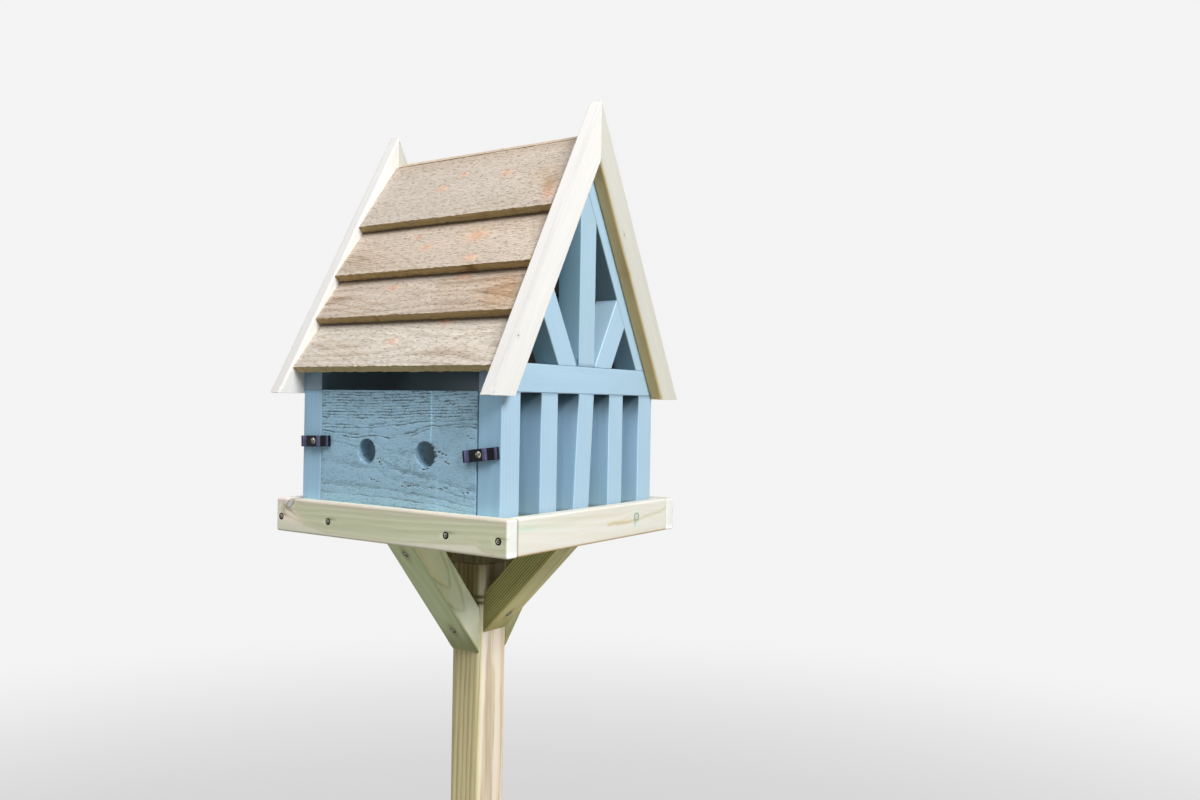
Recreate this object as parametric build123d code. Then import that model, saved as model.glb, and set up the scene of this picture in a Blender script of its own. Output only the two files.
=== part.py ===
"""A garden bird table: a lapped-board roof on a small barred house, which stands in a railed
tray on a braced post.

Lengths are in millimetres. The origin is the centre of the post's foot at ground level. +Z is up,
the front gable faces -Y and the side with the lift-out panel faces -X, which is called left.
"""

import os
from math import atan, cos, radians, sin, tan

from build123d import *

# The post, the head block on it and the four braces
POST_SIDE = 55.0
POST_HEIGHT = 1200.0
POST_ARRIS_RADIUS = 9.0
HEAD_BLOCK_SIDE = 57.0
HEAD_BLOCK_HEIGHT = 71.0
BRACE_WIDTH = 48.0
BRACE_DEPTH = 38.0
SIDE_BRACE_ANGLE = 51.0
SIDE_BRACE_BEHIND_RAIL = 9.9
GABLE_BRACE_ANGLE = 45.5
GABLE_BRACE_BEHIND_RAIL = 19.6

# The tray
RAIL_HEIGHT = 44.0
RAIL_THICKNESS = 19.0
BEARER_SIDE = 19.0
BEARER_SPACING = 202.0
FLOOR_THICKNESS = 9.0
FLOOR_BOARDS = 4
FLOOR_BOARD_GAP = 3.0
FLOOR_BELOW_RAIL_TOP = 6.0

# The house
HOUSE_WIDTH = 332.0
HOUSE_LENGTH = 340.0
FRAME_STOCK = 35.0
CORNER_POST_ABOVE_RAIL = 143.5
GABLE_BARS = 3
BAR_WIDTH = 34.0
LEANING_BAR_TILT = 3.4
KING_POST_OFFSET = 3.4
LEFT_STRUT_CLEARANCE = 4.0
RIGHT_STRUT_CLEARANCE = 0.5
PANEL_HEIGHT = 150.0
PANEL_THICKNESS = 18.0
BATTEN_SIDE = 12.0
HOLE_DIAMETER = 32.0
HOLE_SPACING = 100.0
HOLE_HEIGHT = 72.5

# The roof, with what shows of each board below the ridge board from the eaves up
ROOF_PITCH = 61.4
BARGEBOARD_WIDTH = 39.0
BARGEBOARD_THICKNESS = 19.0
BARGEBOARD_BELOW_TIE = 4.5
RAFTER_RECESS = 30.5
RAFTER_DEPTH = 25.0
RAFTER_FOOT_INSET = 15.1
BOARD_WIDTH = 100.0
BOARD_THICKNESS = 12.0
BOARDS_SHOWING = (75.5, 69.0, 85.0)
EAVES_OVERHANG = 17.1
RIDGE_BOARD_BELOW_APEX = 44.0
RIDGE_LAP = 5.0

# The turn-buttons that hold the lift-out panel
BUTTON_LENGTH = 52.0
BUTTON_WIDTH = 14.5
BUTTON_ARM_THICKNESS = 3.0
BUTTON_LIP_HEIGHT = 4.7
BUTTON_LIP_LENGTH = 3.0
BUTTON_LIP_SLOPE_LENGTH = 1.5
BUTTON_BOSS_HEIGHT = 6.5
BUTTON_BOSS_LENGTH = 19.0
BUTTON_BOSS_SLOPE_LENGTH = 3.5
BUTTON_SCREW_INSET = 7.0
FRONT_BUTTON_HEIGHT = 70.0
REAR_BUTTON_HEIGHT = 76.5
FRONT_BUTTON_TILT = -7.0
REAR_BUTTON_TILT = -2.0
SCREW_SHANK_RADIUS = 1.9
SCREW_HEAD_RADIUS = 4.0
SCREW_HEAD_HEIGHT = 2.2

# Clearances and rounded arrises
HOUSE_SIDE_CLEARANCE = 0.3
HOUSE_END_CLEARANCE = 8.0
PANEL_FRONT_CLEARANCE = 2.0
PANEL_REAR_CLEARANCE = 0.5
SEAT_CLEARANCE = 0.2
BUTTON_FACE_CLEARANCE = 0.5
SCREW_CLEARANCE = 0.3
RAIL_ARRIS_RADIUS = 3.0
FRAME_ARRIS_RADIUS = 1.5
BARGEBOARD_ARRIS_RADIUS = 3.0

# Levels and faces that several pieces share
HEAD_BLOCK_TOP = POST_HEIGHT + HEAD_BLOCK_HEIGHT
FLOOR_UNDERSIDE = HEAD_BLOCK_TOP
FLOOR_TOP = FLOOR_UNDERSIDE + FLOOR_THICKNESS
RAIL_TOP = FLOOR_TOP + FLOOR_BELOW_RAIL_TOP
RAIL_BOTTOM = RAIL_TOP - RAIL_HEIGHT
CORNER_POST_TOP = RAIL_TOP + CORNER_POST_ABOVE_RAIL
TIE_TOP = CORNER_POST_TOP + FRAME_STOCK
HALF_WIDTH = HOUSE_WIDTH / 2
HALF_LENGTH = HOUSE_LENGTH / 2
RAIL_INSIDE_X = HALF_WIDTH + HOUSE_SIDE_CLEARANCE
RAIL_INSIDE_Y = HALF_LENGTH + HOUSE_END_CLEARANCE
PITCH = radians(ROOF_PITCH)
RAFTER_RUN = HALF_WIDTH - RAFTER_FOOT_INSET
APEX = TIE_TOP + RAFTER_RUN * tan(PITCH) + RAFTER_RECESS / cos(PITCH)

parts = {}


def timber(x, y, z, along=None, arris=0.0):
    """A straight piece between two planes each way, with its long arrises rounded."""
    size = (x[1] - x[0], y[1] - y[0], z[1] - z[0])
    centre = ((x[0] + x[1]) / 2, (y[0] + y[1]) / 2, (z[0] + z[1]) / 2)
    solid = Pos(*centre) * Box(*size)
    if arris:
        solid = fillet(solid.edges().filter_by(along), arris)
    return solid


def profile_along_y(points, y):
    """An outline in X and Z, carried from one Y to another."""
    corners = [(px, y[0], pz) for px, pz in points]
    outline = make_face(Polyline(*corners, close=True))
    return extrude(outline, amount=y[1] - y[0], dir=(0, 1, 0))


def round_arrises(solid, start, end, radius):
    """Rounds the edges that run the same way as the line from start to end in X and Z."""
    run = Axis((0, 0, 0), (end[0] - start[0], 0, end[1] - start[1]))
    return fillet(solid.edges().filter_by(run), radius)


def on_slope(side, down, out):
    """The X and Z of a point so far down the roof slope and so far out from its outer plane."""
    x = side * (down * cos(PITCH) + out * sin(PITCH))
    return x, APEX - down * sin(PITCH) + out * cos(PITCH)


def slope_place(side, x, z):
    """The distances down and out of a point, which on_slope turns back."""
    rise = z - APEX
    return side * x * cos(PITCH) - rise * sin(PITCH), side * x * sin(PITCH) + rise * cos(PITCH)


def plane_at_height(out, z):
    """The half-width at height z of a plane that lies so far out from the roof's outer plane."""
    return (APEX + out / cos(PITCH) - z) / tan(PITCH)


def sloping_piece(side, outer, inner, foot, y, arris):
    """A rafter or bargeboard: plumb-cut at the apex, level-cut at its foot."""
    points = [
        (0, APEX + outer / cos(PITCH)),
        (side * plane_at_height(outer, foot), foot),
        (side * plane_at_height(inner, foot), foot),
        (0, APEX + inner / cos(PITCH)),
    ]
    return round_arrises(profile_along_y(points, y), points[0], points[1], arris)


def gable_span(end, depth):
    """The Y range of a piece that is flush with the outside of a gable and goes inwards."""
    return tuple(sorted((end * HALF_LENGTH, end * (HALF_LENGTH - depth))))


# Post, head block and braces


def brace(angle, reach, behind_rail):
    """A brace in X and Z, from the post's face to the rail's inside and up to the floor."""
    slope = tan(radians(angle))
    face = POST_SIDE / 2
    foot = RAIL_BOTTOM + behind_rail - slope * (reach - face)
    top_at_post = foot + BRACE_DEPTH / cos(radians(angle))
    points = [
        (face, foot),
        (reach, RAIL_BOTTOM + behind_rail),
        (reach, FLOOR_UNDERSIDE),
        (face + (FLOOR_UNDERSIDE - top_at_post) / slope, FLOOR_UNDERSIDE),
        (face, top_at_post),
    ]
    solid = profile_along_y(points, (-BRACE_WIDTH / 2, BRACE_WIDTH / 2))
    return round_arrises(solid, points[0], points[1], FRAME_ARRIS_RADIUS)


def make_post():
    half = POST_SIDE / 2
    parts["post"] = timber((-half, half), (-half, half), (0, POST_HEIGHT), Axis.Z, POST_ARRIS_RADIUS)
    half = HEAD_BLOCK_SIDE / 2
    z = (POST_HEIGHT, HEAD_BLOCK_TOP)
    parts["head_block"] = timber((-half, half), (-half, half), z, Axis.Z, RAIL_ARRIS_RADIUS)

    side_brace = brace(SIDE_BRACE_ANGLE, RAIL_INSIDE_X, SIDE_BRACE_BEHIND_RAIL)
    gable_brace = brace(GABLE_BRACE_ANGLE, RAIL_INSIDE_Y, GABLE_BRACE_BEHIND_RAIL)
    parts["brace_right"] = side_brace
    parts["brace_left"] = Rot(0, 0, 180) * side_brace
    parts["brace_rear"] = Rot(0, 0, 90) * gable_brace
    parts["brace_front"] = Rot(0, 0, -90) * gable_brace


# Tray


def make_tray():
    long_half = RAIL_INSIDE_Y + RAIL_THICKNESS
    height = (RAIL_BOTTOM, RAIL_TOP)
    for name, side in (("left", -1), ("right", 1)):
        x = sorted((side * RAIL_INSIDE_X, side * (RAIL_INSIDE_X + RAIL_THICKNESS)))
        parts[f"rail_{name}"] = timber(x, (-long_half, long_half), height, Axis.Y, RAIL_ARRIS_RADIUS)
    x = (-RAIL_INSIDE_X, RAIL_INSIDE_X)
    for name, end in (("front", -1), ("rear", 1)):
        y = sorted((end * RAIL_INSIDE_Y, end * long_half))
        parts[f"rail_{name}"] = timber(x, y, height, Axis.X, RAIL_ARRIS_RADIUS)

    bearers = []
    for end in (-1, 1):
        middle = end * BEARER_SPACING / 2
        y = (middle - BEARER_SIDE / 2, middle + BEARER_SIDE / 2)
        z = (FLOOR_UNDERSIDE - BEARER_SIDE, FLOOR_UNDERSIDE)
        bearers.append(timber((-RAIL_INSIDE_X, RAIL_INSIDE_X), y, z))
    parts["bearers"] = Compound(children=bearers)

    width = (2 * RAIL_INSIDE_X - (FLOOR_BOARDS + 1) * FLOOR_BOARD_GAP) / FLOOR_BOARDS
    boards = []
    for index in range(FLOOR_BOARDS):
        start = -RAIL_INSIDE_X + FLOOR_BOARD_GAP + index * (width + FLOOR_BOARD_GAP)
        y = (-RAIL_INSIDE_Y, RAIL_INSIDE_Y)
        boards.append(timber((start, start + width), y, (FLOOR_UNDERSIDE, FLOOR_TOP)))
    parts["floor_boards"] = Compound(children=boards)


# House frame


def make_frame():
    inside = HALF_WIDTH - FRAME_STOCK
    for end_name, end in (("front", -1), ("rear", 1)):
        y = gable_span(end, FRAME_STOCK)
        for side_name, side in (("left", -1), ("right", 1)):
            x = sorted((side * inside, side * HALF_WIDTH))
            z = (FLOOR_TOP, CORNER_POST_TOP)
            parts[f"corner_post_{end_name}_{side_name}"] = timber(x, y, z, Axis.Z, FRAME_ARRIS_RADIUS)
        z = (CORNER_POST_TOP, TIE_TOP)
        parts[f"tie_beam_{end_name}"] = timber((-HALF_WIDTH, HALF_WIDTH), y, z, Axis.X, FRAME_ARRIS_RADIUS)
        make_bars(end_name, end, y, inside)
        make_gable(end_name, y)


def make_bars(end_name, end, y, inside):
    """Evenly spaced bars. The middle one of the front gable leans, as it was fixed."""
    gap = (2 * inside - GABLE_BARS * BAR_WIDTH) / (GABLE_BARS + 1)
    middle = GABLE_BARS // 2
    bars = []
    for index in range(GABLE_BARS):
        left = -inside + gap + index * (gap + BAR_WIDTH)
        leaning = index == middle and end < 0
        lean = tan(radians(LEANING_BAR_TILT)) * (CORNER_POST_TOP - FLOOR_TOP) / 2 if leaning else 0.0
        foot = (left - lean, FLOOR_TOP)
        head = (left + lean, CORNER_POST_TOP)
        points = [foot, (foot[0] + BAR_WIDTH, foot[1]), (head[0] + BAR_WIDTH, head[1]), head]
        bars.append(round_arrises(profile_along_y(points, y), foot, head, FRAME_ARRIS_RADIUS))
    parts[f"bars_{end_name}"] = Compound(children=bars)


def make_gable(end_name, y):
    """Rafters on the tie beam, the king post between them and a strut each side of it."""
    outer = -RAFTER_RECESS
    inner = outer - RAFTER_DEPTH
    for side_name, side in (("left", -1), ("right", 1)):
        rafter = sloping_piece(side, outer, inner, TIE_TOP, y, FRAME_ARRIS_RADIUS)
        parts[f"rafter_{end_name}_{side_name}"] = rafter

    under_apex = APEX + inner / cos(PITCH)
    post_faces = {side: KING_POST_OFFSET + side * FRAME_STOCK / 2 for side in (-1, 1)}
    points = [(post_faces[-1], TIE_TOP), (post_faces[1], TIE_TOP)]
    points.append((post_faces[1], under_apex - abs(post_faces[1]) * tan(PITCH)))
    points.append((0, under_apex))
    points.append((post_faces[-1], under_apex - abs(post_faces[-1]) * tan(PITCH)))
    king_post = profile_along_y(points, y)
    parts[f"king_post_{end_name}"] = round_arrises(king_post, (0, 0), (0, 1), FRAME_ARRIS_RADIUS)

    foot_width = FRAME_STOCK / sin(PITCH)
    rafter_foot = plane_at_height(inner, TIE_TOP)
    struts = []
    for side, clearance in ((-1, LEFT_STRUT_CLEARANCE), (1, RIGHT_STRUT_CLEARANCE)):
        near = abs(post_faces[side]) + clearance
        lines = []
        for foot in (near, near + foot_width):
            head = (foot + rafter_foot) / 2
            lines.append(((side * foot, TIE_TOP), (side * head, TIE_TOP + (head - foot) * tan(PITCH))))
        (near_foot, near_head), (far_foot, far_head) = lines
        strut = profile_along_y([near_foot, far_foot, far_head, near_head], y)
        struts.append(round_arrises(strut, near_foot, near_head, FRAME_ARRIS_RADIUS))
    parts[f"struts_{end_name}"] = Compound(children=struts)


# Side panels and their battens


def make_panels():
    opening = HALF_LENGTH - FRAME_STOCK
    y = (-opening + PANEL_FRONT_CLEARANCE, opening - PANEL_REAR_CLEARANCE)
    z = (FLOOR_TOP, FLOOR_TOP + PANEL_HEIGHT)
    panels = {}
    for side in (-1, 1):
        x = sorted((side * HALF_WIDTH, side * (HALF_WIDTH - PANEL_THICKNESS)))
        panels[side] = timber(x, y, z)
    for place in (-1, 1):
        centre = (-HALF_WIDTH, place * HOLE_SPACING / 2, FLOOR_TOP + HOLE_HEIGHT)
        panels[-1] -= Pos(*centre) * Rot(0, 90, 0) * Cylinder(HOLE_DIAMETER / 2, 3 * PANEL_THICKNESS)
    parts["door_panel"] = panels[-1]
    parts["side_panel"] = panels[1]

    battens = []
    near = HALF_WIDTH - PANEL_THICKNESS - SEAT_CLEARANCE
    for side in (-1, 1):
        x = sorted((side * near, side * (near - BATTEN_SIDE)))
        for end in (-1, 1):
            y = sorted((end * opening, end * (opening - BATTEN_SIDE)))
            battens.append(timber(x, y, (FLOOR_TOP, CORNER_POST_TOP)))
    parts["panel_battens"] = Compound(children=battens)


# Roof


def make_bargeboards():
    foot = CORNER_POST_TOP - BARGEBOARD_BELOW_TIE
    for end_name, end in (("front", -1), ("rear", 1)):
        y = tuple(sorted((end * HALF_LENGTH, end * (HALF_LENGTH + BARGEBOARD_THICKNESS))))
        for side_name, side in (("left", -1), ("right", 1)):
            board = sloping_piece(side, 0.0, -BARGEBOARD_WIDTH, foot, y, BARGEBOARD_ARRIS_RADIUS)
            parts[f"bargeboard_{end_name}_{side_name}"] = board


def lapped_board(side, foot, rise, width):
    """A board from its lower inner arris up, tilted so much more than the rafters under it."""
    angle = atan(rise)
    up = (-cos(angle), -sin(angle))
    out = (-sin(angle), cos(angle))
    head = (foot[0] + width * up[0], foot[1] + width * up[1])
    corners = [foot, head]
    for corner in (head, foot):
        corners.append((corner[0] + BOARD_THICKNESS * out[0], corner[1] + BOARD_THICKNESS * out[1]))
    solid = profile_along_y([on_slope(side, *corner) for corner in corners], (-HALF_LENGTH, HALF_LENGTH))
    return solid, corners


def slope_boards(side, ridge):
    """The boards of one slope, from the eaves up.

    The eaves board lies on the rafters and on the end of the tie beam. Each other board's foot
    lies on the board below, and its head on the rafters or, where that is steeper, flat on that
    board. The last slope's top board laps over the head of the first one's, at the ridge.
    """
    rafter_plane = -RAFTER_RECESS + SEAT_CLEARANCE
    tie_down, tie_out = slope_place(side, side * HALF_WIDTH, TIE_TOP)
    down = tie_down + EAVES_OVERHANG
    rise = (tie_out + SEAT_CLEARANCE - rafter_plane) / (tie_down - down + BOARD_WIDTH)
    outer_face = None
    boards = {}
    for number, showing in zip(range(len(BOARDS_SHOWING) + 1, 0, -1), (*BOARDS_SHOWING, 0.0)):
        width = BOARD_WIDTH if showing else down - RIDGE_BOARD_BELOW_APEX + (RIDGE_LAP if ridge else 0)
        if outer_face is None:
            foot_out = tie_out + SEAT_CLEARANCE + rise * (down - tie_down)
        else:
            foot_out = outer_face[1] - rise * (outer_face[0] - down) + SEAT_CLEARANCE
            rise = min(rise, (foot_out - rafter_plane) / width)
        if number == 1 and ridge:
            rise = min(rise, (foot_out - ridge[1] - SEAT_CLEARANCE) / (down - ridge[0]))
        boards[number], corners = lapped_board(side, (down, foot_out), rise, width)
        outer_face = corners[3]
        down -= showing
    return boards, corners[1]


def make_roof_boards():
    left_boards, head = slope_boards(-1, None)
    right_boards, _ = slope_boards(1, slope_place(1, *on_slope(-1, *head)))
    for side_name, boards in (("left", left_boards), ("right", right_boards)):
        for number, board in boards.items():
            parts[f"roof_board_{side_name}_{number}"] = board


# Turn-buttons


def button_profile():
    """Half of the outline along the button, from the middle of the boss out to the lip."""
    half = BUTTON_LENGTH / 2
    boss = BUTTON_BOSS_LENGTH / 2
    return [
        (0, BUTTON_BOSS_HEIGHT),
        (boss, BUTTON_BOSS_HEIGHT),
        (boss + BUTTON_BOSS_SLOPE_LENGTH, BUTTON_ARM_THICKNESS),
        (half - BUTTON_LIP_LENGTH - BUTTON_LIP_SLOPE_LENGTH, BUTTON_ARM_THICKNESS),
        (half - BUTTON_LIP_LENGTH, BUTTON_LIP_HEIGHT),
        (half, BUTTON_LIP_HEIGHT),
        (half, 0),
    ]


def make_buttons():
    face = HALF_WIDTH + BUTTON_FACE_CLEARANCE
    places = (
        ("front", -1, FRONT_BUTTON_HEIGHT, FRONT_BUTTON_TILT),
        ("rear", 1, REAR_BUTTON_HEIGHT, REAR_BUTTON_TILT),
    )
    screws = []
    for end_name, end, height, tilt in places:
        half_outline = button_profile()
        outline = half_outline + [(-along, out) for along, out in reversed(half_outline[1:])]
        corners = [(-out, along, 0) for along, out in outline]
        button = extrude(make_face(Polyline(*corners, close=True)), amount=BUTTON_WIDTH / 2, both=True)
        bore = Rot(0, 90, 0) * Cylinder(SCREW_SHANK_RADIUS + SCREW_CLEARANCE, 3 * BUTTON_BOSS_HEIGHT)
        y = end * (HALF_LENGTH - FRAME_STOCK + BUTTON_SCREW_INSET)
        z = RAIL_TOP + height
        parts[f"turn_button_{end_name}"] = Pos(-face, y, z) * Rot(tilt, 0, 0) * (button - bore)

        shank_length = BUTTON_FACE_CLEARANCE + BUTTON_BOSS_HEIGHT + SCREW_CLEARANCE
        shank = Cylinder(SCREW_SHANK_RADIUS, shank_length, align=(Align.CENTER, Align.CENTER, Align.MIN))
        head = Cylinder(SCREW_HEAD_RADIUS, SCREW_HEAD_HEIGHT, align=(Align.CENTER, Align.CENTER, Align.MIN))
        screw = shank + Pos(0, 0, shank_length) * head
        screws.append(Pos(-HALF_WIDTH, y, z) * Rot(0, -90, 0) * screw)
    parts["button_screws"] = Compound(children=screws)


make_post()
make_tray()
make_frame()
make_panels()
make_bargeboards()
make_roof_boards()
make_buttons()

os.makedirs("parts", exist_ok=True)
for name, solid in parts.items():
    export_step(solid, f"parts/{name}.step")
print(len(parts), "parts, rail top at", RAIL_TOP, "and apex at", APEX)
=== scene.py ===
"""The looks of a garden bird table: treated and painted softwood, nailed and screwed together.

Lengths are in metres, in the frame of the solids: +Z is up from the post's foot, the front gable
faces -Y, and the side with the lift-out panel faces -X, which is called left.
"""
import math
import random

import bmesh
import bpy
from mathutils import Euler, Matrix, Vector, noise


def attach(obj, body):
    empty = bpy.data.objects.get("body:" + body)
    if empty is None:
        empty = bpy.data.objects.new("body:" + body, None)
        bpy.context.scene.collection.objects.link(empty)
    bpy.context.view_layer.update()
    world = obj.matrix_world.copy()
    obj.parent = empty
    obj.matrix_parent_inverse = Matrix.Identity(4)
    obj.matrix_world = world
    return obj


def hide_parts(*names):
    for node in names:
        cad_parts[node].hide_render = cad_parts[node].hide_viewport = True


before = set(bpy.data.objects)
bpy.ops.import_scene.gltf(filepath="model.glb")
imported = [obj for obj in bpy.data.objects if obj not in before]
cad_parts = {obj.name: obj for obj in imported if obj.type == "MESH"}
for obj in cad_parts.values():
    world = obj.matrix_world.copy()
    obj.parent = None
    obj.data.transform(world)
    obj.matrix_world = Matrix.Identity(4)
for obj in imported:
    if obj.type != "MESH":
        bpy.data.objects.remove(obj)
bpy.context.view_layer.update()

# The picture: the table seen from the left of its front gable, at the height of the bars, through a
# moderately wide lens that was held a degree off level.
CAMERA_PLACE = Vector((-1.053, -0.9017, 1.4172))
CAMERA_LOOK = Vector((0.82975, 0.55813, 0.00402))
CAMERA_ROLL = math.radians(0.958)
CAMERA_LENS = 30.04


def add_object(name, data):
    made = bpy.data.objects.new(name, data)
    bpy.context.scene.collection.objects.link(made)
    return made


def aim(thing, place, look, roll=0.0):
    thing.location = place
    thing.rotation_mode = "QUATERNION"
    thing.rotation_quaternion = look.to_track_quat("-Z", "Y") @ Euler((0, 0, roll)).to_quaternion()


camera = add_object("camera", bpy.data.cameras.new("camera"))
camera.data.lens = CAMERA_LENS
camera.data.sensor_width = 36.0
camera.data.clip_start = 0.01
aim(camera, CAMERA_PLACE, CAMERA_LOOK, CAMERA_ROLL)
bpy.context.scene.camera = camera
bpy.context.scene.view_settings.view_transform = "Standard"


# The light: an even pale room. One large lamp stands high in front and a little to the left, so that
# the gable is the brightest wall, and a wider one hangs over the left slope of the roof.
SKY_STRENGTH = 0.17
BACKDROP_WHITE = 0.9
KEY_ENERGY = 92.0
KEY_SIZE = 1.3
KEY_PLACE = Vector((-0.75, -2.6, 3.15))
TOP_ENERGY = 48.0
TOP_SIZE = 2.4
TOP_PLACE = Vector((-1.2, 0.0, 3.9))
HOUSE_MIDDLE = Vector((0.0, 0.0, 1.5))
WHITE = (1.0, 1.0, 1.0, 1.0)
FLOOR_RADIUS = 30.0
FLOOR_FADE = (1.6, 5.0)
FLOOR_PALE = 0.6


def soft_lamp(name, place, size, energy):
    lamp = bpy.data.lights.new(name, "AREA")
    lamp.shape = "DISK"
    lamp.size = size
    lamp.energy = energy
    aim(add_object(name, lamp), place, HOUSE_MIDDLE - place)


soft_lamp("key_lamp", KEY_PLACE, KEY_SIZE, KEY_ENERGY)
soft_lamp("top_lamp", TOP_PLACE, TOP_SIZE, TOP_ENERGY)


class Shade:
    """One socket of a material. Arithmetic on it adds Math nodes, and node() adds any other node."""

    def __init__(self, tree, socket=None):
        self.tree = tree
        self.socket = socket

    def feed(self, node, sockets):
        """Links or sets the sockets of a node."""
        for name, value in sockets.items():
            if isinstance(value, Shade):
                self.tree.links.new(value.socket, node.inputs[name])
            else:
                node.inputs[name].default_value = value

    def node(self, kind, settings=None, sockets=None, output=0):
        """Adds a node: its settings are made first, then the values or links of its sockets."""
        made = self.tree.nodes.new(f"ShaderNode{kind}")
        for name, value in (settings or {}).items():
            setattr(made, name, value)
        self.feed(made, sockets or {})
        return Shade(self.tree, made.outputs[output])

    def math(self, operation, *others):
        return self.node("Math", {"operation": operation}, dict(enumerate((self, *others))))

    def __add__(self, other):
        return self.math("ADD", other)

    def __sub__(self, other):
        return self.math("SUBTRACT", other)

    def __rsub__(self, other):
        return self * -1.0 + other

    def __mul__(self, other):
        return self.math("MULTIPLY", other)

    __radd__ = __add__
    __rmul__ = __mul__

    def step(self, low, high):
        """0 below low and 1 above high, or the other way round, with a soft rise between."""
        return self.node("MapRange", {"interpolation_type": "SMOOTHSTEP"}, {0: self, 1: low, 2: high})

    def vector(self, operation, other=(0.0, 0.0, 0.0), output=0):
        return self.node("VectorMath", {"operation": operation}, {0: self, 1: other}, output)

    def noise(self, cells, detail=2.0, roughness=0.5):
        """Noise on this vector, with so many cells to a metre each way."""
        stretched = self.vector("MULTIPLY", cells)
        sockets = {"Vector": stretched, "Scale": 1.0, "Detail": detail, "Roughness": roughness}
        return self.node("TexNoise", None, sockets)

    def others(self, *names):
        """Other outputs of the node that this socket belongs to."""
        return [Shade(self.tree, self.socket.node.outputs[name]) for name in names]

    def attribute(self, name, output="Fac"):
        return self.node("Attribute", {"attribute_name": name}, None, output)

    def mix(self, colour, factor, kind="MIX"):
        """This colour, mixed with another."""
        settings = {"data_type": "RGBA", "blend_type": kind}
        return self.node("Mix", settings, {0: factor, 6: self, 7: colour}, 2)

    def between(self, low, high):
        """The colour so far from one colour to another."""
        return self.node("Mix", {"data_type": "RGBA"}, {0: self, 6: low, 7: high}, 2)

    def tinted(self):
        """This colour under the tints that the surface's vertices carry: stains, and painted light and
        shade.
        """
        return self.mix(self.attribute("tint", "Color"), 1.0, "MULTIPLY")

    def grey(self):
        return self.node("CombineColor", None, {0: self, 1: self, 2: self})

    def bump(self, distance):
        return self.node("Bump", None, {"Height": self, "Distance": distance, "Strength": 1.0})


def srgb(red, green, blue):
    """A colour as it is seen, from 0 to 255, as the shaders' linear light."""
    seen = [part / 255 for part in (red, green, blue)]
    return (*(part / 12.92 if part < 0.0404 else ((part + 0.055) / 1.055) ** 2.4 for part in seen), 1.0)


def new_finish(name):
    """An empty material, its principled shader and a first Shade to build on."""
    material = bpy.data.materials.new(name)
    material.use_nodes = True
    return material, material.node_tree.nodes["Principled BSDF"], Shade(material.node_tree)


def seen_rays(shade):
    """1 for what the camera sees, straight or in metal and glass, and 0 for what lights the table."""
    straight = shade.node("LightPath", output="Is Camera Ray")
    mirrored, refracted = straight.others("Is Glossy Ray", "Is Transmission Ray")
    return straight.math("MAXIMUM", mirrored).math("MAXIMUM", refracted)


def lay_floor():
    """A pale floor that keeps the table's shadow, and fades into the backdrop further off."""
    bed = bmesh.new()
    bmesh.ops.create_circle(bed, cap_ends=True, radius=FLOOR_RADIUS, segments=64)
    mesh = bpy.data.meshes.new("floor")
    bed.to_mesh(mesh)
    bed.free()
    material, principled, shade = new_finish("floor")
    shade.feed(principled, {"Base Color": srgb(190, 190, 188), "Roughness": 0.9})
    place = shade.node("TexCoord", output="Object")
    away = place.vector("LENGTH", output="Value").step(*FLOOR_FADE)
    pale = shade.node("Emission", None, {"Color": WHITE, "Strength": BACKDROP_WHITE})
    factor = seen_rays(shade) * (away * (1.0 - FLOOR_PALE) + FLOOR_PALE)
    lit = Shade(material.node_tree, principled.outputs[0])
    mixed = shade.node("MixShader", None, {0: factor, 1: lit, 2: pale})
    shade.feed(material.node_tree.nodes["Material Output"], {"Surface": mixed})
    mesh.materials.append(material)
    add_object("floor", mesh)


lay_floor()
world = bpy.data.worlds.new("world")
bpy.context.scene.world = world
world.use_nodes = True
sky_light = Shade(world.node_tree)
sky_strength = seen_rays(sky_light) * (BACKDROP_WHITE - SKY_STRENGTH) + SKY_STRENGTH
sky_light.feed(world.node_tree.nodes["Background"], {"Strength": sky_strength, "Color": WHITE})


# The post: one square length of treated softwood, planed, with broad rounded arrises. It was sawn
# from beside the heart, so the annual rings run down its faces as broad stripes.
LEFT = Vector((-1, 0, 0))
FRONT = Vector((0, -1, 0))
POST_RING = 0.0076
POST_KNOTS = ((-0.21, 0.012, 0.006),)
POST_EARLY = srgb(238, 224, 192)
POST_LATE = srgb(176, 150, 98)
KNOT_RIM = srgb(120, 62, 34)
KNOT_CORE = srgb(176, 112, 72)
POST_ARRIS = -0.0275
# The two faces are lightened as painted light, the top is darkened as painted shade under the tray, and the
# arris by the braces gets a painted highlight.
POST_STAINS_AND_LIGHT = (  # a colour, with its place, its reach and the way it faces; the last two are knots
    ((1.05, 1.08, 0.88), LEFT),
    ((1.19, 1.2, 1.38), FRONT),
    ((0.95, 0.86, 0.66), (0, POST_ARRIS, -POST_ARRIS), (0, 0.012, 0.005), FRONT),
    ((0.45, 0.42, 0.34), (0.6, 0, 0), (0.05, 0, 0)),
    ((1.15, 1.26, 1.46), (0.53, POST_ARRIS, POST_ARRIS), (0.07, 0.008, 0.008)),
    ((1.8, 1.9, 2.1), (0.575, POST_ARRIS, POST_ARRIS), (0.03, 0.01, 0.01)),
    ((0.05, 0.04, 0.03), (0.556, -0.024, POST_ARRIS), (0.0027, 0.009, 0.01)),
    ((0.05, 0.04, 0.03), (0.548, -0.024, POST_ARRIS), (0.0027, 0.009, 0.01)),
)
STAIN_EDGE = 6.0
SHARP_CORNER = 0.9
SMOOTH_BELOW = math.radians(38)


def way_of(edge):
    return (edge.verts[1].co - edge.verts[0].co).normalized()


def clamp(value):
    return min(1.0, max(0.0, value))


def curve(points, at):
    """The height of a line through a few points, eased between them."""
    for (start, low), (end, high) in zip(points, points[1:]):
        if at <= end:
            share = clamp((at - start) / (end - start))
            return low + (high - low) * share * share * (3.0 - 2.0 * share)
    return points[-1][1]


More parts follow.
